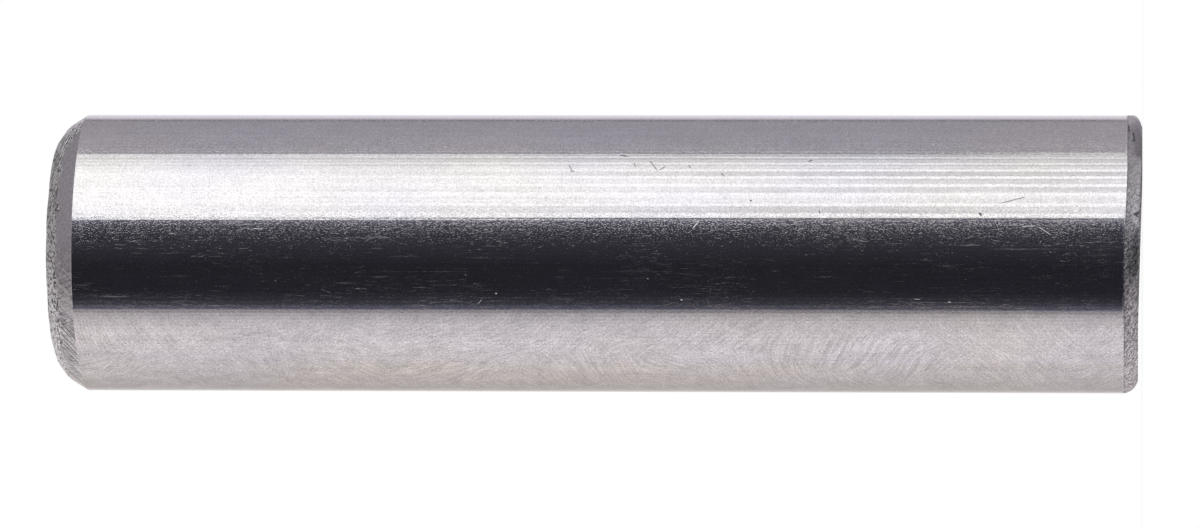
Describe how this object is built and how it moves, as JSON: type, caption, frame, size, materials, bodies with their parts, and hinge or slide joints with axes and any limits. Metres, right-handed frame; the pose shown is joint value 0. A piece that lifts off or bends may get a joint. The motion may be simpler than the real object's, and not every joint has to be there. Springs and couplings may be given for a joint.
{
  "type": "piston pin",
  "caption": "Solid ground steel pin that joins a piston to its connecting rod, with a plain rounded end and a chamfered, bevelled lead-in end.",
  "frame": {"origin": "centre of the flat bottom face, which is the square, plainly rounded end", "axes": "+Z along the pin's axis, towards the chamfered lead-in end"},
  "size_m": [0.012, 0.012, 0.047],
  "materials": {
    "ground_steel": "ground and polished, with as-formed end corners"
  },
  "bodies": {
    "root": {"piston_pin": "ground_steel"}
  },
  "joints": []
}
